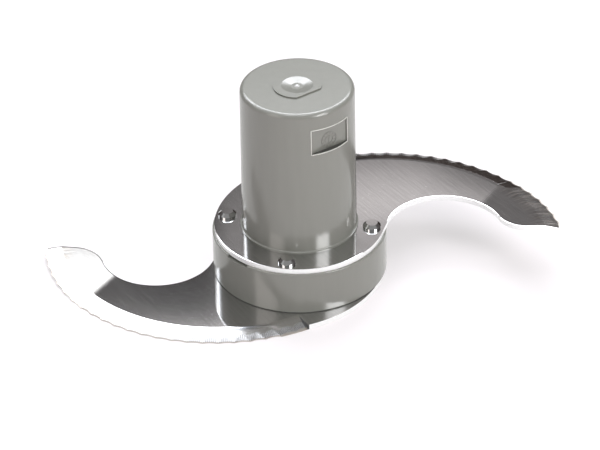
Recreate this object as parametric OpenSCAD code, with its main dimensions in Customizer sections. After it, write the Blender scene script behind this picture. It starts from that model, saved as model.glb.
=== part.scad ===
// Food processor blade: a moulded hub with two riveted sickle blades.
// Units are millimetres. The hub axis is Z, and Z = 0 is the underside of the lower blade.
// Seen from above, the upper blade's arm reaches towards +X and the lower blade's towards -X.

/* [Blades] */
// Thickness of each blade plate
plate_t = 1.9; // [1.5:0.1:2.4]
// Distance by which the ring that the hub clamps lies inside the flange
ring_inset = 0.75; // [0.3:0.05:1.5]
// Radius of the arc that the cutting edge follows
edge_r = 63.8; // [62:0.1:66]
// Distance by which the edge arc would pass outside the ring
edge_gap = 0.15; // [0.05:0.05:1]
// Direction of the centre of the edge arc, in degrees
edge_dir = -30.2; // [-33:0.1:-28]
// Least width of the arm between the round bay and the edge
arm_w = 19; // [16:0.1:22]
// Width of the gap between the bay's circle and the ring, crossed by a short straight
bay_gap = 0.8; // [0.3:0.1:3]
// Direction of the centre of the bay, in degrees
bay_dir = -6.7; // [-9:0.1:-4]
// Angle round the bay at which the tip shoulder takes over, in degrees
bay_end = 18; // [14:1:22]
// Radius of the convex shoulder on the inner side of the tip
shoulder_r = 11.5; // [9:0.1:13]
// Direction in which the shoulder runs out towards the tip, in degrees
shoulder_end = -10; // [-14:1:-6]
// Width of the squared end of the tip
tip_w = 4.8; // [3:0.1:8]
// Direction of that end, from the edge in, in degrees
tip_dir = -98.9; // [-110:0.1:-80]
// Angle on the edge arc down to which scallops are ground, in degrees
tip_square = 12.2; // [10:0.1:16]
// Direction at which the tail has wound down to the ring, in degrees
tail_dir = 172; // [165:1:178]
// Turn of the lower blade against the upper one, in degrees
blade_turn = 177.8; // [175:0.1:185]

/* [Tip bend] */
// Angle by which the tips are set up, in degrees
bend_angle = 3; // [0.5:0.1:6]
// Radius of the bend, on its outside
bend_r = 60; // [30:5:90]
// Distance from the ring out to the bend line
bend_gap = 20.1; // [17:0.1:25]
// Direction square to the bend line, in degrees
bend_dir = -32.8; // [-36:0.1:-30]

/* [Grind] */
// Width of the bevel ground on the top face
bevel_w = 6.4; // [5:0.1:8]
// Thickness left at the edge
edge_land = 0.2; // [0.1:0.05:0.5]
// Angle on the edge arc at which the bevel starts with a step, in degrees
bevel_from = 121; // [119:0.5:123]
// Angle on the edge arc at which the scallops start, in degrees
scallop_from = 115.5; // [110:0.5:118]
// Length of one scallop along the edge
scallop_pitch = 5.55; // [4.5:0.05:7]
// Depth of one scallop at its middle
scallop_depth = 0.6; // [0.3:0.05:1.2]
// How far a scallop is ground up the bevel
scallop_run = 3.2; // [2:0.1:4]
// How far the last scallops, on the tip, are ground up the bevel
tip_run = 6; // [3:0.1:6.3]
// Number of teeth in one scallop
teeth = 8; // [4:1:9]
// Depth of the gullets between the teeth
tooth_depth = 0.7; // [0.2:0.05:0.9]

/* [Hub] */
// Diameter of the flange between the blades
flange_d = 61.5; // [61.2:0.1:64]
// Height of the flange, which sets the blades apart
flange_h = 16; // [10:0.5:24]
// Radius on the edges of the flange
flange_edge = 0.5; // [0.2:0.1:1]
// Width of the rim of the ring, round the spigots that the blades fit over
rim_w = 9.25; // [8:0.05:9.5]
// Height by which the upper spigot stands above the upper blade
spigot_rise = 0.5; // [0.3:0.1:1]
// Distance by which the foot of the sleeve lies inside the spigot
sleeve_inset = 0.55; // [0.3:0.05:1.5]
// Draft of the sleeve from its foot to its top, on the radius
sleeve_draft = 0.4; // [0.1:0.05:0.8]
// Height of the sleeve above the upper blade
sleeve_h = 55.6; // [45:0.5:70]
// Radius on the top edge of the sleeve
top_edge = 1.7; // [0.8:0.1:2.5]
// Clearance on the radius between the spigots and the blades
spigot_gap = 0.06; // [0.03:0.01:0.15]

/* [Inside of the hub] */
// Wall between the top of the sleeve and the bore for the bowl's centre column
sleeve_wall = 3.8; // [2.5:0.1:5]
// Step in the bore at the foot of the drive socket, on the radius
bore_step = 0.5; // [0.3:0.1:1]
// Thickness of the top wall
top_wall = 3; // [2:0.1:4]
// Diameter of the drive shaft
shaft_d = 12; // [10:0.1:13]
// Distance across the two flats of the drive shaft
shaft_flats = 10; // [8:0.1:9.9]
// Clearance on the radius round the drive shaft
shaft_gap = 0.1; // [0.05:0.01:0.2]
// Wall of the drive socket
socket_wall = 3; // [2:0.1:4]
// Length of the drive socket
socket_len = 24; // [15:0.5:30]
// Number of ribs between the drive socket and the sleeve
socket_ribs = 6; // [4:1:8]
// Thickness of those ribs
rib_t = 1.8; // [1.2:0.1:2.5]

/* [Top pad and window] */
// Diameter of the raised pad on top
pad_d = 16.8; // [14:0.1:20]
// Distance across the pad's two flats
pad_flats = 13.4; // [10:0.1:14]
// Height of the pad
pad_h = 0.5; // [0.3:0.1:1]
// Diameter of the shallow dish in the pad
dish_d = 11; // [8:0.5:13]
// Depth of the dish
dish_depth = 0.7; // [0.3:0.1:1.2]
// Diameter of the gate mark in the dish
gate_d = 1.5; // [0.8:0.1:2.5]
// Height of the gate mark
gate_h = 0.5; // [0.2:0.1:1]
// Direction in which the window faces, in degrees
window_dir = -54.5; // [-70:0.5:-40]
// Width of the window
window_w = 15.2; // [12:0.1:18]
// Height of the window
window_h = 9.6; // [8:0.1:12]
// Distance from the top of the sleeve down to the window
window_drop = 6.3; // [5:0.1:10]
// Depth of the window's flat floor below the top of the sleeve
window_depth = 1.9; // [1.4:0.1:2.4]
// Diameter of the date dial moulded in the window
dial_d = 6.4; // [4:0.1:8]
// Width of the lines of the dial
dial_line = 0.3; // [0.2:0.05:0.5]
// Depth of those lines
dial_depth = 0.15; // [0.05:0.05:0.4]
// Distance from the middle of the window down to the dial
dial_drop = 1.5; // [-1:0.1:1.5]

/* [Relief] */
// Direction of the relief in the flange's top edge, in degrees
relief_dir = -136; // [-150:1:-120]
// Angle that the relief spans, in degrees
relief_span = 18; // [10:1:30]
// Height of the relief
relief_h = 0.9; // [0.5:0.1:1.5]
// How far the relief reaches in from the flange's side
relief_in = 2; // [1:0.1:2.5]

/* [Rivets] */
// Number of rivets
rivets = 4; // [4:1:4]
// Distance from the outside of the ring in to each rivet
rivet_edge = 4.2; // [3.8:0.1:5]
// Direction of the first rivet, in degrees
rivet_dir = -10; // [-20:1:0]
// Diameter of the rivet shank
shank_d = 4; // [3:0.1:4.5]
// Diameter of the rivet head at its foot
head_d = 6.3; // [5.5:0.1:7]
// Diameter of the flat on top of the head
head_top_d = 4.1; // [3:0.1:5]
// Height of the head
head_h = 1.9; // [1:0.1:2.5]
// Height of the straight foot of the head
head_foot = 0.8; // [0.3:0.1:1]
// Clearance on the radius round the rivet
rivet_gap = 0.05; // [0.03:0.01:0.1]
// Depth by which the closed end lies below the underside
closed_inset = 0.1; // [0.05:0.05:0.2]

/* [Hidden] */
$fn = 96;
cut = 1;
steel = [0.72, 0.72, 0.73];
plastic = [0.54, 0.54, 0.51];

// Heights
flange_z = plate_t;
upper_z = flange_z + flange_h;
deck_z = upper_z + plate_t;
top_z = deck_z + sleeve_h;
bore_top = top_z - top_wall;
step_z = bore_top - socket_len;

// Radii of the hub, from the flange in
ring_r = flange_d / 2 - ring_inset;
spigot_r = ring_r - rim_w;
sleeve_r = spigot_r - sleeve_inset;
sleeve_top_r = sleeve_r - sleeve_draft;
column_r = sleeve_top_r - sleeve_wall;
window_floor = sleeve_top_r - window_depth;
rivet_off = ring_r - rivet_edge;
hole_r = spigot_r + spigot_gap;

// Blade outline: the edge arc closes round the ring, and the bay's circle is the one that clears the
// ring by its gap and leaves the arm's width to the edge
edge_off = edge_r - ring_r - edge_gap;
edge_c = edge_off * dir(edge_dir);
bay_reach = edge_r - arm_w + ring_r + bay_gap;
bay_off = (bay_reach ^ 2 - edge_off ^ 2) / (2 * (bay_reach - edge_off * cos(bay_dir - edge_dir)));
bay_r = bay_off - ring_r - bay_gap;
bay_c = bay_off * dir(bay_dir);
lead = acos((ring_r + bay_r) / bay_off);
ring_leave = bay_dir - lead;
bay_enter = bay_dir + 180 - lead;
shoulder_c = bay_c + (bay_r + shoulder_r) * dir(bay_end);
tail_start = edge_c + edge_r * dir(bevel_from);
tail_rise = (norm(tail_start) ^ 2 - ring_r ^ 2) / (2 * (ring_r - tail_start * dir(tail_dir)));
tail_c = -tail_rise * dir(tail_dir);
tail_r = ring_r + tail_rise;
tail_arm = tail_start - tail_c;
tail_from = atan2(tail_arm.y, tail_arm.x);

// Grind, with a scallop's end on the bend line, and the tip squared off where the last scallop ends
bevel_fall = (plate_t - edge_land) / bevel_w;
scallop_step = scallop_pitch / edge_r * 180 / PI;
bend_off = ring_r + bend_gap;
bend_edge = acos((bend_off - edge_c * dir(bend_dir)) / edge_r) + bend_dir;
arm_scallops = floor((scallop_from - bend_edge) / scallop_step);
tip_scallops = floor((bend_edge - tip_square) / scallop_step);
arm_start = bend_edge + arm_scallops * scallop_step;
tip_start = bend_edge - tip_scallops * scallop_step;
tip_corner = edge_c + edge_r * dir(tip_start) + tip_w * dir(tip_dir);
tip_overrun = 10;
tip_reach = edge_off + edge_r;
tip_facets = 6;

function dir(a) = [cos(a), sin(a)];
function arc(c, r, a0, a1, step = 3) =
    let (n = max(2, ceil(abs(a1 - a0) / step)))
    [for (i = [0 : n]) c + r * dir(a0 + (a1 - a0) * i / n)];

// Plan of one blade: ring, straight lead, bay, shoulder, squared tip, edge and tail
function blade_plan() = concat(
    arc([0, 0], ring_r, tail_dir - 360, ring_leave),
    arc(bay_c, bay_r, bay_enter, bay_end),
    arc(shoulder_c, shoulder_r, bay_end + 180, 270 + shoulder_end),
    [tip_corner],
    edge_marks(),
    arc(tail_c, tail_r, tail_from + 2, tail_dir - 4)
);

// Cutting edge from the squared tip round to the start of the bevel, scallop by scallop
function edge_marks() = concat(
    [edge_c + edge_r * dir(tip_start)],
    [
        for (k = [1 : tip_scallops])
            each scallop(tip_start + (k - 1) * scallop_step, tip_facets, 0)
    ],
    [
        for (k = [1 : arm_scallops])
            each scallop(bend_edge + (k - 1) * scallop_step, 2 * teeth, tooth_depth)
    ],
    arc(edge_c, edge_r, (arm_start + bevel_from) / 2, bevel_from)
);
function scallop(a0, n, gullet) = [
    for (j = [1 : n])
        let (u = j / n)
        edge_c + (edge_r - scallop_depth * 4 * u * (1 - u) - (j % 2) * gullet) * dir(a0 + u * scallop_step)
];

// Height of the bevel at a radius of the edge arc
function bevel_z(r) = edge_land + (edge_r - r) * bevel_fall;

// Cut that grinds the bevel between two angles on the edge arc
module bevel_cut(from, to) {
    back = edge_r - bevel_w - cut;
    front = edge_r + cut;
    translate(edge_c)
        rotate(to)
            rotate_extrude(angle = from - to)
                polygon([
                    [back, bevel_z(back)],
                    [front, bevel_z(front)],
                    [front, plate_t + cut],
                    [back, plate_t + cut]
                ]);
}

// Hollow flutes of a row of scallops, each ground with a round wheel from the edge up the bevel
module flutes(a0, count, run) {
    rise = bevel_z(edge_r - run) - edge_land;
    slope = atan(rise / (run - scallop_depth));
    wheel_r = scallop_pitch ^ 2 / (8 * scallop_depth * sin(slope));
    for (k = [0 : count - 1])
        translate(edge_c)
            rotate(a0 + (k + 0.5) * scallop_step)
                translate([edge_r - scallop_depth, 0, edge_land])
                    rotate([0, slope, 0])
                        translate([3 * cut, 0, wheel_r])
                            rotate([0, -90, 0])
                                cylinder(r = wheel_r, h = run + 6 * cut);
}

// Plate that runs flat to the bend line and then slopes up, seen from its side and extruded
module bent_plate() {
    far = 2 * tip_reach;
    steps = 4;
    c = [bend_off - bend_r * tan(bend_angle / 2), bend_r];
    bottom = [for (i = [0 : steps]) c + bend_r * dir(-90 + bend_angle * i / steps)];
    top = [for (i = [steps : -1 : 0]) c + (bend_r - plate_t) * dir(-90 + bend_angle * i / steps)];
    slope = far * dir(bend_angle);
    rotate(bend_dir)
        translate([0, far, 0])
            rotate([90, 0, 0])
                linear_extrude(2 * far)
                    polygon(concat(
                        [[-far, 0]],
                        bottom,
                        [bottom[steps] + slope, top[0] + slope],
                        top,
                        [[-far, plate_t]]
                    ));
}

// Carries its children from the flat up with the tip
module on_tip() {
    rotate(bend_dir)
        translate([bend_off, 0, 0])
            rotate([0, -bend_angle, 0])
                translate([-bend_off, 0, 0])
                    rotate(-bend_dir)
                        children();
}

// One blade with its bevel up
module blade() {
    difference() {
        intersection() {
            linear_extrude(tip_reach * sin(bend_angle) + plate_t)
                polygon(blade_plan());
            bent_plate();
        }
        bevel_cut(bevel_from, bend_edge);
        flutes(bend_edge, arm_scallops, scallop_run);
        on_tip() {
            bevel_cut(bend_edge, -tip_overrun);
            flutes(tip_start, tip_scallops, tip_run);
        }
    }
}

// Places its children at every rivet
module at_rivets() {
    for (i = [0 : rivets - 1])
        rotate(rivet_dir + i * 360 / rivets)
            translate([rivet_off, 0, 0])
                children();
}

module upper_blade() {
    color(steel)
        difference() {
            translate([0, 0, upper_z])
                blade();
            translate([0, 0, upper_z - cut])
                cylinder(r = hole_r, h = plate_t + 2 * cut);
            translate([0, 0, upper_z - cut])
                at_rivets()
                    cylinder(d = shank_d + 2 * rivet_gap, h = plate_t + 2 * cut);
        }
}

module lower_blade() {
    sink = (head_d - shank_d) / 2;
    color(steel)
        difference() {
            rotate(blade_turn)
                blade();
            translate([0, 0, -cut])
                cylinder(r = hole_r, h = plate_t + 2 * cut);
            translate([0, 0, -cut])
                at_rivets()
                    cylinder(d = shank_d + 2 * rivet_gap, h = plate_t + 2 * cut);
            at_rivets()
                cylinder(
                    r1 = head_d / 2 + rivet_gap,
                    r2 = shank_d / 2 + rivet_gap,
                    h = sink
                );
        }
}

// Quarter-round corner for a profile, as points about its centre
function corner(c, r, a0, a1, n = 6) = [for (i = [0 : n]) c + r * dir(a0 + (a1 - a0) * i / n)];

// Outside of the hub, as half a section
function hub_profile() =
    let (
        fr = flange_d / 2,
        sr = spigot_r,
        foot = deck_z + spigot_rise
    )
    concat(
        [[0, 0], [sr, 0], [sr, flange_z]],
        corner([fr - flange_edge, flange_z + flange_edge], flange_edge, -90, 0),
        corner([fr - flange_edge, upper_z - flange_edge], flange_edge, 0, 90),
        [[sr, upper_z], [sr, foot]],
        corner([sr, foot + sleeve_inset], sleeve_inset, -90, -180, 4),
        corner([sleeve_top_r - top_edge, top_z - top_edge], top_edge, atan2(sleeve_draft, sleeve_h), 90, 8),
        [[0, top_z]]
    );

module two_flats(d, flats, h) {
    intersection() {
        cylinder(d = d, h = h);
        translate([-d, -flats / 2, 0])
            cube([2 * d, flats, h]);
    }
}

// Raised pad with its dish and gate mark
module pad() {
    translate([0, 0, top_z])
        difference() {
            translate([0, 0, -cut])
                rotate(window_dir + 90)
                    two_flats(pad_d, pad_flats, pad_h + cut);
            translate([0, 0, pad_h - dish_depth])
                cylinder(d1 = gate_d, d2 = dish_d, h = dish_depth);
            translate([0, 0, pad_h])
                cylinder(d = dish_d, h = cut);
        }
    translate([0, 0, top_z + pad_h - dish_depth - cut])
        cylinder(d1 = gate_d, d2 = gate_d * 0.7, h = gate_h + cut);
}

// Tube with ribs that takes the drive shaft
module socket() {
    socket_r = shaft_d / 2 + shaft_gap + socket_wall;
    translate([0, 0, step_z]) {
        cylinder(r = socket_r, h = socket_len + cut);
        for (i = [0 : socket_ribs - 1])
            rotate(window_dir + (i + 0.5) * 360 / socket_ribs)
                translate([socket_r - cut, -rib_t / 2, 0])
                    cube([column_r - socket_r + 2 * cut, rib_t, socket_len + cut]);
    }
}

module window_cut() {
    rotate(window_dir)
        translate([window_floor, -window_w / 2, top_z - window_drop - window_h])
            cube([2 * sleeve_r, window_w, window_h]);
}

// Lines of the date dial: a ring, and a pointer across a turning middle
module dial_cut() {
    rotate(window_dir)
        translate([window_floor - dial_depth, 0, top_z - window_drop - window_h / 2 - dial_drop])
            rotate([90, 0, 90])
                linear_extrude(dial_depth + cut) {
                    difference() {
                        circle(d = dial_d);
                        circle(d = dial_d - 2 * dial_line);
                    }
                    difference() {
                        circle(d = dial_d / 2 + dial_line);
                        circle(d = dial_d / 2 - dial_line);
                    }
                    square([dial_line, dial_d / 2 - 2 * dial_line], center = true);
                    translate([0, dial_d / 4 - 2 * dial_line])
                        polygon([[-2 * dial_line, -dial_line], [2 * dial_line, -dial_line], [0, dial_line]]);
                }
}

module relief_cut() {
    outer = flange_d / 2;
    rotate(relief_dir - relief_span / 2)
        rotate_extrude(angle = relief_span)
            translate([outer - relief_in, upper_z - relief_h])
                square([relief_in + cut, relief_h + cut]);
}

module hub() {
    color(plastic)
        difference() {
            union() {
                difference() {
                    rotate_extrude()
                        polygon(hub_profile());
                    translate([0, 0, -cut])
                        cylinder(r = column_r, h = step_z + cut);
                    translate([0, 0, step_z - cut])
                        cylinder(r = column_r - bore_step, h = socket_len + cut);
                }
                socket();
                pad();
            }
            translate([0, 0, step_z - cut])
                rotate(window_dir + 90)
                    two_flats(shaft_d + 2 * shaft_gap, shaft_flats + 2 * shaft_gap, socket_len - 2 + cut);
            window_cut();
            dial_cut();
            relief_cut();
            translate([0, 0, flange_z - cut])
                at_rivets()
                    cylinder(d = shank_d + 2 * rivet_gap, h = flange_h + 2 * cut);
        }
}

// Rivet i, counted from 0: head, shank and closed end
module rivet(i) {
    sink = (head_d - shank_d) / 2;
    color("silver")
        rotate(rivet_dir + i * 360 / rivets)
            translate([rivet_off, 0, 0]) {
                translate([0, 0, closed_inset])
                    cylinder(d = shank_d, h = deck_z - closed_inset + head_foot);
                translate([0, 0, closed_inset])
                    cylinder(d1 = head_d - 2 * closed_inset, d2 = shank_d, h = sink - closed_inset);
                translate([0, 0, deck_z]) {
                    cylinder(d = head_d, h = head_foot);
                    translate([0, 0, head_foot])
                        cylinder(d1 = head_d, d2 = head_top_d, h = head_h - head_foot);
                }
            }
}

hub();
upper_blade();
lower_blade();
for (i = [0 : rivets - 1]) rivet(i);
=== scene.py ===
# %% [markdown]
# # A food processor blade in Blender
# The part is a grey moulded hub with two sickle blades riveted to it. The solids come from CAD,
# already at their real size and place, so this script adds what CAD leaves out: brushed and ground
# steel, polished rivets, moulded plastic, the small marks that a mould leaves, and a plain pale
# studio round them.

import math

import bmesh
import bpy
from mathutils import Matrix, Vector


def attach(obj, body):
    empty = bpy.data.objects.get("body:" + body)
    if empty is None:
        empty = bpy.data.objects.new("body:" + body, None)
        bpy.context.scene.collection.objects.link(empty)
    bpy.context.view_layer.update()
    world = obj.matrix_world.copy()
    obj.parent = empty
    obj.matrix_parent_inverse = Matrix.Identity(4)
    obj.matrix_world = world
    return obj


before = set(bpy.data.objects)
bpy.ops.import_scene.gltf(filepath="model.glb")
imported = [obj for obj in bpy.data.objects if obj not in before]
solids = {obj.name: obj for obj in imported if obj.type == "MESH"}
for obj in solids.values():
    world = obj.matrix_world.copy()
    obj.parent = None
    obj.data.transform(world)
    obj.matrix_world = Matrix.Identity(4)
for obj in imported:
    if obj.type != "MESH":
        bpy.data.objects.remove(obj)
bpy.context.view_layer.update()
MM = 0.001
print("solids:", sorted(solids))

# %% [markdown]
# ## Shader maths that reads like arithmetic
# A grain or a scratch is a small formula of the place on the surface. Wiring it node by node is
# slow to read, so a wire here is a small class: adding or multiplying wires adds the Math nodes.

# %% A wire
class Wire:
    """One output socket, with arithmetic."""

    def __init__(self, sheet, socket):
        self.sheet, self.socket = sheet, socket

    def maths(self, operation, *others, clamp=False):
        settings = {"operation": operation, "use_clamp": clamp}
        return self.sheet.node("Math", settings, {i: v for i, v in enumerate((self, *others))})

    def __add__(self, other):
        return self.maths("ADD", other)

    def __sub__(self, other):
        return self.maths("SUBTRACT", other)

    def __mul__(self, other):
        return self.maths("MULTIPLY", other)

    def __truediv__(self, other):
        return self.maths("DIVIDE", other)

    def __pow__(self, other):
        return self.maths("POWER", other)

    __radd__ = __add__
    __rmul__ = __mul__

    def __rsub__(self, other):
        return (self * -1) + other

    def clamped(self):
        return self.maths("ADD", 0, clamp=True)

    def size(self):
        return self.maths("ABSOLUTE")

    def step(self, low, high):
        """0 below low, 1 above high, smooth between; low above high turns it round."""
        lo, hi, a, b = (low, high, 0, 1) if low < high else (high, low, 1, 0)
        settings = {"interpolation_type": "SMOOTHSTEP"}
        values = {"Value": self, "From Min": lo, "From Max": hi, "To Min": a, "To Max": b}
        return self.sheet.node("MapRange", settings, values)


print("Wire:", Wire.__doc__)

# %% [markdown]
# Every other node comes from one method, which takes the node's type, its settings and what goes
# into its sockets. A sheet is the node tree that they all lie on. Lengths on it are millimetres.

# %% A sheet of nodes
class Sheet:
    """The node tree of one material, or of the world."""

    def __init__(self, tree):
        self.tree = tree
        tree.nodes.clear()

    def node(self, kind, settings=None, values=None, out=0):
        made = self.tree.nodes.new("ShaderNode" + kind)
        for name, value in (settings or {}).items():
            setattr(made, name, value)
        for name, value in (values or {}).items():
            if isinstance(value, Wire):
                self.tree.links.new(value.socket, made.inputs[name])
            else:
                made.inputs[name].default_value = value
        return Wire(self, made.outputs[out]) if made.outputs else None

    def place(self):
        """Where on the object a point is, in millimetres."""
        spot = self.node("TexCoord", out="Object")
        return self.node("VectorMath", {"operation": "SCALE"}, {0: spot, "Scale": 1 / MM})

    def split(self, vector):
        return [self.node("SeparateXYZ", values={"Vector": vector}, out=i) for i in range(3)]

    def join(self, x, y, z):
        return self.node("CombineXYZ", values={0: x, 1: y, 2: z})

    def noise(self, vector, scale, detail=2.0, roughness=0.5):
        values = {"Vector": vector, "Scale": scale, "Detail": detail, "Roughness": roughness}
        return self.node("TexNoise", values=values)

    def blend(self, amount, a, b):
        """Colour a where amount is 0 and colour b where it is 1."""
        return self.node("Mix", {"data_type": "RGBA"}, {0: amount, 6: a, 7: b}, out=2)

    def lean(self, amount, a, b):
        """Direction a where amount is 0 and direction b where it is 1."""
        return self.node("Mix", {"data_type": "VECTOR"}, {0: amount, 4: a, 5: b}, out=1)

    def normal(self):
        """The surface's own direction."""
        return self.node("NewGeometry", out="Normal")

    def bump(self, height_mm, normal=None):
        values = {"Height": height_mm, "Distance": MM, "Strength": 1.0}
        if normal is not None:
            values["Normal"] = normal
        return self.node("Bump", values=values)


print("Sheet:", Sheet.__doc__)

# %% [markdown]
# Three helpers for materials: a grey, an empty material, and the closing shader of a surface.

# %% Material helpers
def grey(value, warm=0.0):
    return (value * (1 + warm), value, value * (1 - warm), 1)


def new_material(name):
    material = bpy.data.materials.new(name)
    material.use_nodes = True
    return material, Sheet(material.node_tree)


def finish_surface(sheet, **values):
    named = {key.replace("_", " "): value for key, value in values.items()}
    shader = sheet.node("BsdfPrincipled", values=named)
    sheet.node("OutputMaterial", values={"Surface": shader})


print("a middle grey:", grey(0.5))

# %% [markdown]
# ## The camera
# The circles of the hub and of the blades' rings, seen as ellipses, give the camera: about a metre
# away, 34 degrees above the horizon, with a long lens and a slight roll. It is built from its own
# three directions, which is plainer than angles when a roll is known.

# %% Camera
ELEVATION = 0.5917
ROLL = -0.0173
LENS_MM = 179.24
SENSOR_MM = 36
NEAREST, FARTHEST = 0.05, 20
EYE = Vector((0.19, -874.4, 605.7)) * MM


def set_camera():
    ahead = Vector((0, math.cos(ELEVATION), -math.sin(ELEVATION)))
    level_up = Vector((0, math.sin(ELEVATION), math.cos(ELEVATION)))
    across = Vector((1, 0, 0)) * math.cos(ROLL) + level_up * math.sin(ROLL)
    up = across.cross(ahead)
    lens = bpy.data.cameras.new("camera")
    lens.lens, lens.sensor_width = LENS_MM, SENSOR_MM
    lens.clip_start, lens.clip_end = NEAREST, FARTHEST
    camera = bpy.data.objects.new("camera", lens)
    bpy.context.collection.objects.link(camera)
    turn = Matrix((across, up, -ahead)).transposed()
    camera.matrix_world = Matrix.Translation(EYE) @ turn.to_4x4()
    bpy.context.scene.camera = camera
    return camera


camera = set_camera()
print("camera at", [round(v, 3) for v in camera.location])

# %% [markdown]
# ## The studio
# Steel shows what stands round it more than its own colour. Every facet of a blade mirrors one
# part of the room, so the photograph tells what stood there. The flat plates mirror the lower edge
# of a big bright panel, about 34 degrees above the far horizon. The near bevel leans back and
# mirrors the panel itself, and the far bevel mirrors the dark foot of the room. The room is painted
# in the world, in soft steps of the direction: x to the right, y away from the camera, z up.

# %% Room
FAR_WALL = (0.13, 0.12, 0.12, 1)
CEILING = (1.0, 1.02, 1.05, 1)
NEAR_FLOOR, NEAR_WALL = grey(0.28), grey(0.36)


def paint_room():
    world = bpy.data.worlds.new("room")
    bpy.context.scene.world = world
    world.use_nodes = True
    sheet = Sheet(world.node_tree)
    x, y, z = sheet.split(sheet.node("TexCoord", out="Generated"))
    ceiling = z.step(0.55, 0.72) * x.step(0.75, 0.45)
    beyond = sheet.blend(ceiling, FAR_WALL, CEILING)
    behind_camera = sheet.blend(z.step(-0.1, 0.6), NEAR_FLOOR, NEAR_WALL)
    around = sheet.blend(y.step(-0.45, 0.15), behind_camera, beyond)
    camera_ray = sheet.node("LightPath", out="Is Camera Ray")
    colour = sheet.blend(camera_ray, around, grey(1.0))
    shade = sheet.node("Background", values={"Color": colour, "Strength": 1.0})
    sheet.node("OutputWorld", values={"Surface": shade})
    return world


print("world:", paint_room().name)
bpy.context.scene.view_settings.view_transform = "Standard"

# %% [markdown]
# The panel, the flag and the floor are flat cards. Each is given by its four corners in
# millimetres, and the camera can be kept from seeing it.

# %% A flat card
def add_card(name, corners_mm, material, seen=True):
    data = bpy.data.meshes.new(name)
    data.from_pydata([Vector(c) * MM for c in corners_mm], [], [(0, 1, 2, 3)])
    data.materials.append(material)
    card = bpy.data.objects.new(name, data)
    bpy.context.collection.objects.link(card)
    card.visible_camera = seen
    print("card:", name)
    return card


# %% [markdown]
# The panel is a real card and not a part of the world, because a card a metre away shades a long
# plate from end to end, while the world, being endlessly far, would light every point of it the
# same. Its levels are those that a plate should show, so they are divided by what steel returns.

# %% Bright panel
PANEL = [(-900, 1000, 350), (620, 1000, 350), (620, 1000, 1250), (-900, 1000, 1250)]
STEEL_RETURNS = 0.62
FOOT_LEVEL = 0.045
TIP_LEVEL = 0.07
FAR_LEFT_LEVEL = 0.025
RING_LEVEL = 0.06
ARM_LEVEL, ARM_LOSS = 0.365, 0.75
WHITE_LEVEL = 1.7
SLANT_FROM, SLANT = 85.0, 0.6
WARM_PANEL = (1.04, 0.98, 0.975, 1)


def make_panel():
    material, sheet = new_material("bright_panel")
    x, _, z = sheet.split(sheet.place())
    right_part = x.step(-72.0, -52.0)
    for_tips = right_part * TIP_LEVEL + x.step(-105.0, -140.0) * FAR_LEFT_LEVEL
    for_ring = right_part * z.step(640.0, 690.0) * RING_LEVEL
    slant = z - (x - SLANT_FROM).maths("MAXIMUM", 0.0) * SLANT
    for_arm = x.step(-40.0, 30.0) * slant.step(615.0, 670.0) * ARM_LEVEL
    for_arm = for_arm * (1 - z.step(684.0, 704.0) * ARM_LOSS)
    white = z.step(730.0, 830.0) * x.step(-760.0, -460.0) * WHITE_LEVEL
    level = (for_tips + for_ring + for_arm + white + FOOT_LEVEL) / STEEL_RETURNS
    tint = sheet.blend(white.clamped(), WARM_PANEL, grey(1.0))
    glow = sheet.node("Emission", values={"Color": tint, "Strength": level})
    sheet.node("OutputMaterial", values={"Surface": glow})
    return material


add_card("panel", PANEL, make_panel(), seen=False)

# %% [markdown]
# A low dark flag stands behind the part, where the far bevel mirrors it. It casts no shadow and
# takes no light from the floor.

# %% Dark flag
FLAG = [(-700, 460, 0), (700, 460, 0), (700, 460, 190), (-700, 460, 190)]
DARK_CLOTH = (0.05, 0.042, 0.037, 1)


def make_flag():
    material, sheet = new_material("dark_flag")
    cloth = sheet.node("BsdfDiffuse", values={"Color": DARK_CLOTH})
    sheet.node("OutputMaterial", values={"Surface": cloth})
    return material


flag = add_card("flag", FLAG, make_flag(), seen=False)
flag.visible_shadow = False
flag.visible_diffuse = False

# %% [markdown]
# The floor is a white card that keeps the part's shadow. Part of what is seen of it is a plain
# white glow, which keeps the clear background white. Steel and plastic mirror that glow near the
# part, and further off they mirror the lit card itself.

# %% Floor
FLOOR_Z = -0.05
FLOOR = [(-4000, -4000), (4000, -4000), (4000, 4000), (-4000, 4000)]
CARD_WHITE = (0.86, 0.80, 0.82, 1)
GLOW_SHARE = 0.45
GLOW_ENDS, GLOW_FULL = 900.0, 400.0


def make_white_card():
    material, sheet = new_material("white_card")
    card = sheet.node("BsdfDiffuse", values={"Color": CARD_WHITE})
    glow = sheet.node("Emission", values={"Color": grey(1.0), "Strength": 1.0})
    x, y, _ = sheet.split(sheet.place())
    near = ((x * x + y * y) ** 0.5).step(GLOW_ENDS, GLOW_FULL)
    camera_ray = sheet.node("LightPath", out="Is Camera Ray")
    glossy_ray = sheet.node("LightPath", out="Is Glossy Ray")
    clear_ray = sheet.node("LightPath", out="Is Transmission Ray")
    seen = ((camera_ray + clear_ray) * GLOW_SHARE + glossy_ray * near).clamped()
    mixed = sheet.node("MixShader", values={0: seen, 1: card, 2: glow})
    sheet.node("OutputMaterial", values={"Surface": mixed})
    return material


add_card("floor", [(x, y, FLOOR_Z) for x, y in FLOOR], make_white_card())

# %% [markdown]
# ## Lamps
# Two wide softboxes stand behind and above the part: they lay the shadows in front of what casts
# them, and burn out in the near bevel. A smaller one hangs over the hub and lights its top. Two
# small ones stand in front, a strong one on the right and a weak one on the left. The sleeve's foot
# shows both as pale patches, seen by way of the steel ring.

# %% Softboxes
HUB_MIDDLE = Vector((0, 0, 35)) * MM
COOL = (0.96, 0.99, 1.05)
WARM = (1.05, 0.98, 0.94)
BACK, BACK_AIM = (-200, 980, 1035), Vector((-200, 0, 1035)) * MM
ABOVE, ABOVE_AIM = (-200, 665, 1250), Vector((-200, 665, 0)) * MM


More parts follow.
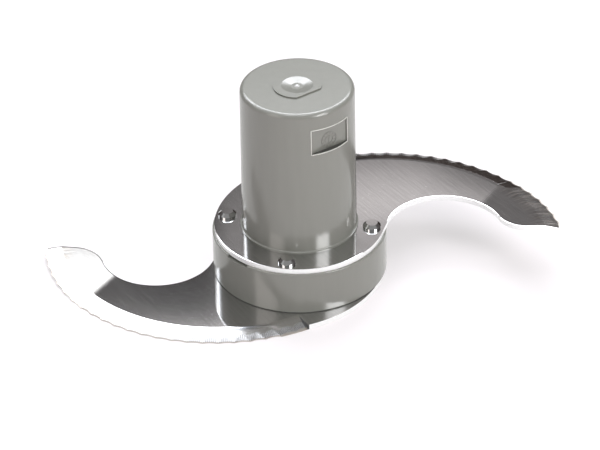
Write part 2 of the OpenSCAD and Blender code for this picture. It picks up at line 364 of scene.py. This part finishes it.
def add_softbox(name, place_mm, size_mm, radiance, towards=HUB_MIDDLE, colour=(1, 1, 1)):
    """An area lamp. Its power follows from how bright its face should look."""
    lamp = bpy.data.lights.new(name, "AREA")
    lamp.shape, lamp.size, lamp.size_y = "RECTANGLE", size_mm[0] * MM, size_mm[1] * MM
    lamp.energy = radiance * math.pi * lamp.size * lamp.size_y
    lamp.color = colour
    box = bpy.data.objects.new(name, lamp)
    box.location = Vector(place_mm) * MM
    box.rotation_euler = (towards - box.location).to_track_quat("-Z", "Y").to_euler()
    bpy.context.collection.objects.link(box)
    box.visible_camera = False
    print("softbox", name, round(lamp.energy, 2), "W")


add_softbox("back", BACK, (1400, 430), 8.0, BACK_AIM, COOL)
add_softbox("above", ABOVE, (1400, 630), 1.6, ABOVE_AIM, COOL)
add_softbox("top", (0, -40, 900), (400, 400), 2.5, colour=COOL)
add_softbox("front_right", (540, -510, 500), (340, 340), 12.0)
add_softbox("front_left", (-540, -510, 500), (380, 380), 2.5, colour=WARM)

# %% [markdown]
# ## Blade steel
# A blade is stamped from brushed stainless strip, so its grain runs straight across the plate
# whatever the outline does, while the bevel is ground afterwards with marks square to the edge. One
# material holds both: the distance from the centre of the edge arc says where the grind is. These
# are the arcs and the line of the upper blade's outline. The lower blade is the same one turned
# round.

# %% The outline of a blade
EDGE_CENTRE = Vector((29.083, -16.926))
EDGE_RADIUS = 63.8
BEVEL_RADIUS = 57.4
BEVEL_SLOPE = 0.266
BEND_ANGLE = math.radians(42.2255)
SCALLOP = 5.55 / EDGE_RADIUS
SCALLOP_DEPTH = 0.45
TEETH = 8
STEP_DEGREES = 121.0
RING_CENTRE, RING_RADIUS = Vector((0, 0)), 30.0
BAY, BAY_RADIUS = Vector((50.868, -5.976)), 20.418
SHOULDER, SHOULDER_RADIUS = Vector((81.224, 3.887)), 11.5
TIP_LINE, TIP_INWARD = Vector((79.227, -7.438)), Vector((0.0538, 0.9986))
TIP_NORMAL = Vector((-0.0440, 0.0283, 0.9986))
BLADE_TURN = math.radians(177.8)
GRAIN_DIRECTION = math.radians(-57)
print("bevel", round(EDGE_RADIUS - BEVEL_RADIUS, 1), "mm wide")
print("scallops", round(math.degrees(SCALLOP), 2), "degrees apart")

# %% [markdown]
# Three measurements on a blade, as wires.

# %% Measuring on a blade
def turned(x, y, angle):
    c, s = math.cos(angle), math.sin(angle)
    return x * c + y * s, y * c - x * s


def distance(x, y, centre):
    dx, dy = x - centre.x, y - centre.y
    return (dx * dx + dy * dy) ** 0.5


def towards(x, y, centre, degrees):
    """How far a point lies from the centre in one direction."""
    a = math.radians(degrees)
    return (x - centre.x) * math.cos(a) + (y - centre.y) * math.sin(a)


print("x, along and across the grain:", [round(v, 2) for v in turned(1, 0, GRAIN_DIRECTION)])

# %% [markdown]
# Stamping rolls the rim of a plate over a little, which draws a thin line along it. Each stretch of
# the outline is an arc or a line, and counts only where that stretch really is the outline.

# %% The rolled rim
ROLL_WIDTH = 0.4
ROLL_DEPTH = 0.07
SHOULDER_FACES, RING_FACES = 229, 243.5


def edge_roll(x, y):
    """1 on the stamped rim and 0 further in than the roll's width."""
    bay = distance(x, y, BAY) - BAY_RADIUS
    shoulder = distance(x, y, SHOULDER) * -1 + SHOULDER_RADIUS
    on_shoulder = towards(x, y, SHOULDER, SHOULDER_FACES).step(9.2, 9.8)
    ring = distance(x, y, RING_CENTRE) * -1 + RING_RADIUS
    on_ring = towards(x, y, RING_CENTRE, RING_FACES).step(8.5, 10.0)
    line = (x - TIP_LINE.x) * TIP_INWARD.x + (y - TIP_LINE.y) * TIP_INWARD.y
    on_line = x.step(TIP_LINE.x - 0.4, TIP_LINE.x + 0.4)
    total = roll_beside(bay)
    for gap, there in ((shoulder, on_shoulder), (ring, on_ring), (line, on_line)):
        total = total + roll_beside(gap) * there
    return total


def roll_beside(gap):
    near = (1 - gap.size() / ROLL_WIDTH).clamped()
    return near * near


print("rolled rim", ROLL_WIDTH, "mm wide and", ROLL_DEPTH, "mm deep")

# %% [markdown]
# A region is a mask: 1 inside and 0 outside. The regions of a blade are its top, its rim, the
# bevel, the worked strip along the edge, the bent tip and the small step where the bevel starts.

# %% Regions of a blade
class Regions:
    """Where a point lies on a blade, and the masks that follow from it."""

    def __init__(self, sheet, turn):
        world_x, world_y, z = sheet.split(sheet.place())
        self.x, self.y = turned(world_x, world_y, turn)
        self.spot = sheet.join(self.x, self.y, z)
        self.reach = distance(self.x, self.y, EDGE_CENTRE)
        self.angle = (self.y - EDGE_CENTRE.y).maths("ARCTAN2", self.x - EDGE_CENTRE.x)
        self.scallops = (self.angle - BEND_ANGLE) / SCALLOP
        self.swell = (self.scallops * math.pi).maths("SINE").size()
        facing = sheet.split(sheet.normal())[2]
        self.on_top = facing.step(0.5, 0.8)
        self.rim = facing.size().step(0.5, 0.2)
        self.before_step = self.round_edge(STEP_DEGREES + 0.2, STEP_DEGREES)
        self.on_tip = self.round_edge(44, 34)
        self.beveled = self.reach.step(BEVEL_RADIUS - 0.5, BEVEL_RADIUS)
        self.sharpened = self.before_step * self.on_top

    def round_edge(self, low, high):
        """A step between two angles round the edge's centre, in degrees."""
        return self.angle.step(math.radians(low), math.radians(high))

    def ground(self):
        """The bevel, drawn a little wider than the solid's, and its own width on the tip."""
        reach = self.reach - self.on_tip * 0.9
        return reach.step(BEVEL_RADIUS - 0.9, BEVEL_RADIUS - 0.5) * self.sharpened

    def worked(self):
        """The strip along the edge where the scallops are cut."""
        return self.reach.step(EDGE_RADIUS - 3.0, EDGE_RADIUS - 1.8) * self.sharpened

    def inner(self, ground):
        """The bevel's inner border, on the stretch before the step."""
        border = (self.reach - BEVEL_RADIUS).size().step(1.8, 0.2) * ground
        return border * self.round_edge(84, 96) * self.round_edge(112, 102)

    def brink(self):
        """A thin line along the scalloped edge."""
        gap = (EDGE_RADIUS - SCALLOP_DEPTH * self.swell - 0.2) - self.reach
        return gap.step(0.55, 0.25) * self.sharpened

    def toothed(self):
        """The outermost part, where the rim is cut into teeth."""
        return self.reach.step(EDGE_RADIUS - 1.6, EDGE_RADIUS - 1.2) * self.before_step

    def step_face(self):
        """The upright face of the small step where the bevel starts."""
        at_step = (self.angle - math.radians(STEP_DEGREES)).size().step(0.010, 0.006)
        return self.rim * at_step * self.beveled


print("Regions:", Regions.__doc__)

# %% [markdown]
# The marks on the steel are noises stretched one way: along the strip for the brushed grain, and
# square to the edge for the grind. The comb strokes are the cuts of the teeth running up the bevel.

# %% Grain, grind and comb
ARC_SCALE = 60.0


def brushed_grain(sheet, at):
    along, across = turned(at.x, at.y, GRAIN_DIRECTION)
    coarse = sheet.noise(sheet.join(along * 0.02, across, 0.0), 1.1, 3.0, 0.6)
    fine = sheet.noise(sheet.join(along * 0.03, across, 0.0), 4.0, 2.0, 0.6)
    return coarse * 0.45 + fine * 0.55


def grind_marks(sheet, at):
    """Fine marks and broad ones, both square to the edge."""
    arc = at.angle * ARC_SCALE
    fine = sheet.noise(sheet.join(arc, at.reach * 0.10, 0.0), 2.2, 3.0, 0.7)
    broad = sheet.noise(sheet.join(arc, at.reach * 0.06, 3.0), 0.9, 2.0, 0.6)
    return fine, broad


def comb_strokes(sheet, at):
    """A stroke for each tooth, which climbs from the edge to an uneven height."""
    strokes = (at.scallops * (TEETH * math.pi)).maths("SINE").size() ** 2
    climb = sheet.noise(sheet.join(at.angle * ARC_SCALE, 0.0, 0.0), 1.3, 1.0)
    top = EDGE_RADIUS - 1.6 - at.swell * 1.4 - climb * 2.0
    inside = (at.reach - top).step(-0.4, 0.8) * (at.reach - EDGE_RADIUS).step(-0.2, -0.9)
    return strokes * inside * at.round_edge(64, 88) * at.sharpened


print("teeth", round(SCALLOP * EDGE_RADIUS / TEETH, 2), "mm apart")

# %% [markdown]
# The colour is laid on in coats, one over the other: first the bevel over the brushed plate, then
# what grinding left on it, and last the rim, which is bright where it was stamped and tan where it
# was cut into teeth. Some coats are painted light: painted shade along the bevel's inner border, on
# the edge strip, in the comb grooves and on the face of the small step, and painted glints on the
# tip.

# %% Colour of a blade
PLATE_DARK, PLATE_LIGHT = grey(0.52), grey(0.72)
BEVEL_DARK, BEVEL_LIGHT = (0.60, 0.58, 0.565, 1), grey(0.84)
BORDER_PAINTED_SHADE = (0.20, 0.215, 0.24, 1)
EDGE_STRIP_PAINTED_SHADE = (0.30, 0.275, 0.255, 1)
PAINTED_GLINT_DARK, PAINTED_GLINT_LIGHT = (0.40, 0.37, 0.345, 1), (0.95, 0.90, 0.84, 1)
COMB_GROOVE_SHADE = (0.33, 0.335, 0.35, 1)
BRINK_TAN = (0.36, 0.32, 0.275, 1)
TEETH_TAN = (0.36, 0.30, 0.26, 1)
SPECK_WHITE, RIM_BRIGHT, STEP_PAINTED_SHADE = grey(0.95), grey(0.93), grey(0.05)


def blade_colour(sheet, at, grain, fine, broad, ground, comb, brink, streaks):
    cloud = sheet.noise(at.spot, 0.07, 2.0)
    tone = (0.5 + (grain - 0.5) * 1.8 + (cloud - 0.5) * 0.5).clamped()
    shade = ((fine * 0.6 + broad * 0.4) * 1.6 - 0.3).clamped()
    bevel = sheet.blend(shade, BEVEL_DARK, BEVEL_LIGHT)
    painted_glint = sheet.blend(broad.step(0.40, 0.62), PAINTED_GLINT_DARK, PAINTED_GLINT_LIGHT)
    speck = sheet.noise(at.spot, 1.9, 0.0).step(0.80, 0.84) * at.on_top
    toothed = at.toothed()
    coats = [
        (ground * (1 - at.on_tip), bevel),
        # Painted shade in the hollow along the bevel's inner border.
        (at.inner(ground) * 0.75, BORDER_PAINTED_SHADE),
        # Painted shade: the dark foot of the room mirrored in the far bevel, laid on the edge strip
        # of both blades.
        (at.worked() * 0.35, EDGE_STRIP_PAINTED_SHADE),
        # Painted glints along the streaks on the tip.
        (streaks * fine.step(0.35, 0.65), painted_glint),
        # The comb grooves are real marks; their darkness is painted shade.
        (comb, COMB_GROOVE_SHADE),
        (brink * 0.8, BRINK_TAN),
        (speck * 0.6, SPECK_WHITE),
        (at.rim * (1 - toothed), RIM_BRIGHT),
        (at.rim * toothed, TEETH_TAN),
        # Painted shade on the upright face of the small step.
        (at.step_face(), STEP_PAINTED_SHADE),
    ]
    colour = sheet.blend(tone, PLATE_DARK, PLATE_LIGHT)
    for amount, paint in coats:
        colour = sheet.blend(amount, colour, paint)
    return colour


print("the plate's greys:", PLATE_DARK[0], "to", PLATE_LIGHT[0])

# %% [markdown]
# The form that is too fine for the solid goes into the normal: the marks, a hollow where the bevel
# meets the plate, and the rolled rim. On the tip, whose grind is flatter, the bevel leans back
# towards the plane of the bent tip.

# %% Relief of a blade
BEVEL_BLEND = 1.3
HOLLOW_DEPTH = 0.25 * BEVEL_SLOPE * BEVEL_BLEND
TIP_SMOOTHING = 0.75


def blade_normal(sheet, at, grain, marks, ground, streaks, turn):
    hollow = (1 - (at.reach - BEVEL_RADIUS).size() / BEVEL_BLEND).clamped()
    hollow = hollow * hollow * at.before_step * (1 - at.on_tip) * HOLLOW_DEPTH
    relief = grain * 0.0006 + marks * ground * 0.0015 + marks * streaks * 0.008
    relief = relief - hollow - edge_roll(at.x, at.y) * ROLL_DEPTH * at.on_top
    tip_x, tip_y = turned(TIP_NORMAL.x, TIP_NORMAL.y, -turn)
    smoothed = at.on_tip * at.on_top * at.beveled * TIP_SMOOTHING
    normal = sheet.lean(smoothed, sheet.normal(), (tip_x, tip_y, TIP_NORMAL.z))
    return sheet.bump(relief, normal)


print("hollow", round(HOLLOW_DEPTH, 3), "mm deep")

# %% [markdown]
# One function puts these together. The plate is the smoothest, the bevel a little rougher, and the
# rim and the cut marks the roughest.

# %% Blade material
def make_blade_steel(name, turn):
    material, sheet = new_material(name)
    at = Regions(sheet, turn)
    grain = brushed_grain(sheet, at)
    fine, broad = grind_marks(sheet, at)
    marks = fine * 0.6 + broad * 0.4
    ground, comb, brink = at.ground(), comb_strokes(sheet, at), at.brink()
    streaks = at.reach.step(52.0, 59.0) * at.on_tip
    smooth = (0.055 + grain * 0.02) * (1 - ground)
    rough = smooth + (0.10 + marks * 0.06) * ground + at.rim * 0.3 + (comb + brink) * 0.3
    finish_surface(
        sheet,
        Base_Color=blade_colour(sheet, at, grain, fine, broad, ground, comb, brink, streaks),
        Metallic=1 - at.rim * 0.5,
        Roughness=rough,
        Normal=blade_normal(sheet, at, grain, marks, ground, streaks, turn),
    )
    return material


def coat_node(node, material):
    data = solids[node].data
    data.materials.clear()
    data.materials.append(material)
    print("coated", node, "with", material.name)


coat_node("upper_blade", make_blade_steel("blade_steel_upper", 0.0))
coat_node("lower_blade", make_blade_steel("blade_steel_lower", BLADE_TURN))

# %% [markdown]
# ## Rivets
# Rivets are headed cold from soft stainless wire and polished by the tool, so they are smoother
# than the plate, with only a faint change of tone.

# %% Rivet material
RIVET_DARK, RIVET_LIGHT = grey(0.56), grey(0.62, 0.01)


def make_rivet_steel():
    material, sheet = new_material("rivet_steel")
    worn = sheet.noise(sheet.place(), 1.4, 3.0)
    colour = sheet.blend(worn, RIVET_DARK, RIVET_LIGHT)
    finish_surface(sheet, Base_Color=colour, Metallic=1.0, Roughness=0.05 + worn * 0.02)
    return material


rivet_steel = make_rivet_steel()
for number in range(1, 5):
    coat_node("rivet_%d" % number, rivet_steel)

# %% [markdown]
# ## Moulded plastic
# The hub is a glass-filled moulding: mid grey, slightly glossy, with a skin that carries a very
# fine orange peel and faint flow marks along the sleeve. The gate left a pale spot on top, and the
# ledge at the window's lower edge is darkened with painted shade.

# %% Hub material
PLASTIC_DARK, PLASTIC_LIGHT = (0.192, 0.193, 0.172, 1), (0.226, 0.228, 0.204, 1)
GATE_PALE, LEDGE_PAINTED_SHADE = grey(0.8), grey(0.02)
WINDOW_BOTTOM = 59.5


def make_hub_plastic():
    material, sheet = new_material("hub_plastic")
    spot = sheet.place()
    x, y, z = sheet.split(spot)
    peel = sheet.noise(spot, 0.8, 1.0)
    flow = sheet.noise(sheet.join(x, y, z * 0.12), 0.35, 2.0)
    speck = sheet.noise(spot, 6.0, 1.0)
    tone = (0.5 + (flow - 0.5) * 0.5 + (speck - 0.5) * 0.1).clamped()
    gate = ((x * x + y * y) ** 0.5).step(1.1, 0.4) * z.step(74.0, 74.6)
    facing = sheet.split(sheet.normal())[2]
    ledge = facing.step(0.6, 0.9) * (z - WINDOW_BOTTOM).size().step(0.4, 0.2)
    colour = sheet.blend(tone, PLASTIC_DARK, PLASTIC_LIGHT)
    colour = sheet.blend(gate * 0.8, colour, GATE_PALE)
    # Painted shade on the ledge under the window.
    colour = sheet.blend(ledge * 0.75, colour, LEDGE_PAINTED_SHADE)
    finish_surface(
        sheet,
        Base_Color=colour,
        Roughness=0.17 + peel * 0.04,
        Normal=sheet.bump(peel * 0.0006),
        IOR=1.6,
    )
    return material


coat_node("hub", make_hub_plastic())

# %% [markdown]
# ## Edges of the window and ticks of the dial
# The mould leaves a fine lip round the sunk window, which catches the light as a thin pale line;
# its pale colour is a painted highlight. A date dial has short ticks round its ring. Both are real
# little meshes. Their points are worked out on the sleeve's own surface, so they sit where the
# solid has its edges.

# %% Points on the sleeve
WINDOW_FLOOR = 17.9
WINDOW_DIRECTION = math.radians(-54.5)
WINDOW_TOP = 69.1
WINDOW_HALF = 7.6
SLEEVE_FOOT = (19.8, 20.2)
SLEEVE_TOP = (75.4, 19.8)


def sleeve_radius(z):
    (z0, r0), (z1, r1) = SLEEVE_FOOT, SLEEVE_TOP
    return r0 + (r1 - r0) * (z - z0) / (z1 - z0)


def window_point(out, side, z):
    """A point out along the window's direction, to one side of it, at a height."""
    c, s = math.cos(WINDOW_DIRECTION), math.sin(WINDOW_DIRECTION)
    return Vector((out * c - side * s, out * s + side * c, z))


def on_sleeve(side, z):
    return window_point(math.sqrt(sleeve_radius(z) ** 2 - side**2), side, z)


print("sleeve radius at the window:", round(sleeve_radius(WINDOW_BOTTOM), 2), "mm")

# %% [markdown]
# The lip is a thin bead, a closed tube of six sides that follows a path of points.

# %% Window lip
BEAD = 0.17
BEAD_SIDES = 6
LIP_STEPS = 24


def add_bead(mesh, path, radius):
    """A thin closed tube along a path of points."""
    turns = [2 * math.pi * k / BEAD_SIDES for k in range(BEAD_SIDES)]
    rings = []
    for i, point in enumerate(path):
        ahead = (path[min(i + 1, len(path) - 1)] - path[max(i - 1, 0)]).normalized()
        out = Vector((point.x, point.y, 0)).normalized()
        side = ahead.cross(out).normalized()
        out = side.cross(ahead)
        spokes = [out * math.cos(t) + side * math.sin(t) for t in turns]
        rings.append([mesh.verts.new(point + radius * spoke) for spoke in spokes])
    for a, b in zip(rings, rings[1:]):
        for k in range(BEAD_SIDES):
            after = (k + 1) % BEAD_SIDES
            mesh.faces.new((a[k], a[after], b[after], b[k]))
    mesh.faces.new(rings[0])
    mesh.faces.new(list(reversed(rings[-1])))


def make_window_lip():
    sides = [-WINDOW_HALF + 2 * WINDOW_HALF * i / LIP_STEPS for i in range(LIP_STEPS + 1)]
    heights = [WINDOW_BOTTOM, (WINDOW_BOTTOM + WINDOW_TOP) / 2, WINDOW_TOP]
    mesh = bmesh.new()
    for z in (WINDOW_TOP, WINDOW_BOTTOM):
        add_bead(mesh, [on_sleeve(side, z) for side in sides], BEAD)
    for side in (-WINDOW_HALF, WINDOW_HALF):
        add_bead(mesh, [on_sleeve(side, z) for z in heights], BEAD)
    bmesh.ops.recalc_face_normals(mesh, faces=mesh.faces)
    for face in mesh.faces:
        face.smooth = True
    return mesh


print("lip", 2 * BEAD, "mm thick")

# %% [markdown]
# The ticks are flat blocks on the window's floor, half a step off the hours. Those that would
# reach under the ledge are left out.

# %% Dial ticks
DIAL_Z = 62.8
DIAL_RADIUS = 3.2
TICKS = 12
TICK_INSET = 0.75
TICK_CLEARANCE = 0.4
TICK_LAYERS = (-0.05, 0.02)
TICK_CORNERS = [(-0.13, -0.35), (0.13, -0.35), (0.13, 0.35), (-0.13, 0.35)]


def add_tick(mesh, side, up, a):
    across = Vector((math.cos(a), -math.sin(a)))
    along = Vector((math.sin(a), math.cos(a)))
    plan = [Vector((side, up)) + across * u + along * v for u, v in TICK_CORNERS]
    low, high = [
        [mesh.verts.new(window_point(WINDOW_FLOOR + layer, p.x, DIAL_Z + p.y)) for p in plan]
        for layer in TICK_LAYERS
    ]
    mesh.faces.new(list(reversed(low)))
    mesh.faces.new(high)
    for i in range(4):
        after = (i + 1) % 4
        mesh.faces.new((low[i], low[after], high[after], high[i]))


def make_ticks():
    mesh = bmesh.new()
    reach = DIAL_RADIUS - TICK_INSET
    for k in range(TICKS):
        a = 2 * math.pi * (k + 0.5) / TICKS
        side, up = reach * math.sin(a), reach * math.cos(a)
        if DIAL_Z + up - TICK_CLEARANCE >= WINDOW_BOTTOM:
            add_tick(mesh, side, up, a)
    bmesh.ops.recalc_face_normals(mesh, faces=mesh.faces)
    return mesh


print("ticks", 360 / TICKS, "degrees apart")

# %% [markdown]
# Both pieces ride on the body of the part.

# %% Add the two pieces
# The lip's pale colour is a painted highlight along the window's edges.
LIP_PAINTED_HIGHLIGHT, TICK_DARK = (0.58, 0.58, 0.54, 1), (0.11, 0.10, 0.09, 1)
WORN_GAIN = 1.15


def make_plastic(name, colour, roughness):
    material, sheet = new_material(name)
    worn = sheet.noise(sheet.place(), 1.5, 2.0)
    shade = sheet.blend(worn, colour, tuple(c * WORN_GAIN for c in colour[:3]) + (1,))
    finish_surface(sheet, Base_Color=shade, Roughness=roughness + worn * 0.1)
    return material


def new_piece(name, mesh, material):
    data = bpy.data.meshes.new(name)
    mesh.to_mesh(data)
    mesh.free()
    data.materials.append(material)
    piece = bpy.data.objects.new(name, data)
    piece.scale = (MM, MM, MM)
    bpy.context.collection.objects.link(piece)
    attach(piece, "root")
    print(name, "has", len(data.polygons), "faces")


lip_highlight_plastic = make_plastic("lip_highlight_plastic", LIP_PAINTED_HIGHLIGHT, 0.3)
tick_plastic = make_plastic("tick_plastic", TICK_DARK, 0.5)
new_piece("window_lip", make_window_lip(), lip_highlight_plastic)
new_piece("dial_ticks", make_ticks(), tick_plastic)

# %% [markdown]
# Blender must not make the part larger.
